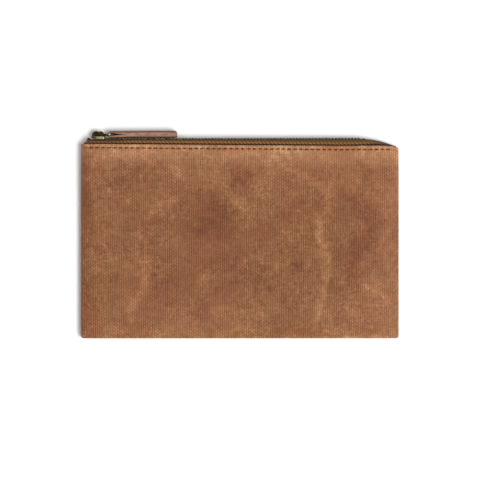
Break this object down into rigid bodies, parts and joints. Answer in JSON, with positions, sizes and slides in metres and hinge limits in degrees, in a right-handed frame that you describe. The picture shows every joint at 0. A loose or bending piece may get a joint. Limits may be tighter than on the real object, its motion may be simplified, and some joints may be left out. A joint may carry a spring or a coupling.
{
  "type": "zippered pouch",
  "caption": "Flat rectangular waxed-canvas pouch with a full-width metal zip along its top edge and a folded leather pull on a wire ring.",
  "frame": {"origin": "middle of the back panel's flat resting face, with the pouch lying on its back", "axes": "+X along the zip towards its bottom stop, +Y from the bottom seam to the zip, +Z out of the front panel"},
  "size_m": [0.2286, 0.1492, 0.012],
  "materials": {
    "waxed_canvas": "waxed, mottled",
    "cotton_lining": "matte plain weave",
    "thread": "waxed thread",
    "zip_tape": "herringbone weave",
    "antique_brass": "antique, rubbed bright on edges",
    "leather": "vegetable tanned, burnished edges"
  },
  "bodies": {
    "back_half": {"back_panel": "waxed_canvas", "back_lining": "cotton_lining", "topstitch_back": "thread", "seam_stitching": "thread", "zipper_tape_back": "zip_tape", "teeth_back": "antique_brass", "top_stop_back": "antique_brass", "bottom_stop": "antique_brass"},
    "front_half": {"front_panel": "waxed_canvas", "front_lining": "cotton_lining", "topstitch_front": "thread", "zipper_tape_front": "zip_tape", "teeth_front": "antique_brass", "top_stop_front": "antique_brass"},
    "slider": {"slider_body": "antique_brass", "slider_bridge": "antique_brass"},
    "pull_ring": {"pull_ring": "antique_brass"},
    "leather_pull": {"leather_pull": "leather"}
  },
  "joints": [
    {"name": "slider_travel", "type": "slide", "parent": "back_half", "child": "slider", "axis": [1, 0.001, 0], "range_m": [0, 0.1836], "deforming": ["teeth_back"]},
    {"name": "mouth_opening", "type": "hinge", "parent": "back_half", "child": "front_half", "pos_m": [0, -0.0694, 0.006], "axis": [1, 0, 0], "range_deg": [0, 13], "deforming": ["teeth_front", "zipper_tape_front"]},
    {"name": "ring_pivot", "type": "hinge", "parent": "slider", "child": "pull_ring", "pos_m": [-0.1018, 0.07695, 0.006], "axis": [0, 0, 1], "range_deg": [0, 110]},
    {"name": "pull_pivot", "type": "hinge", "parent": "pull_ring", "child": "leather_pull", "pos_m": [-0.0922, 0.07696, 0.006], "axis": [0, 0, 1], "range_deg": [0, 70]}
  ],
  "couplings": [
    {"joint": "mouth_opening", "follows": "slider_travel", "rad_per_m": 1.2}
  ]
}
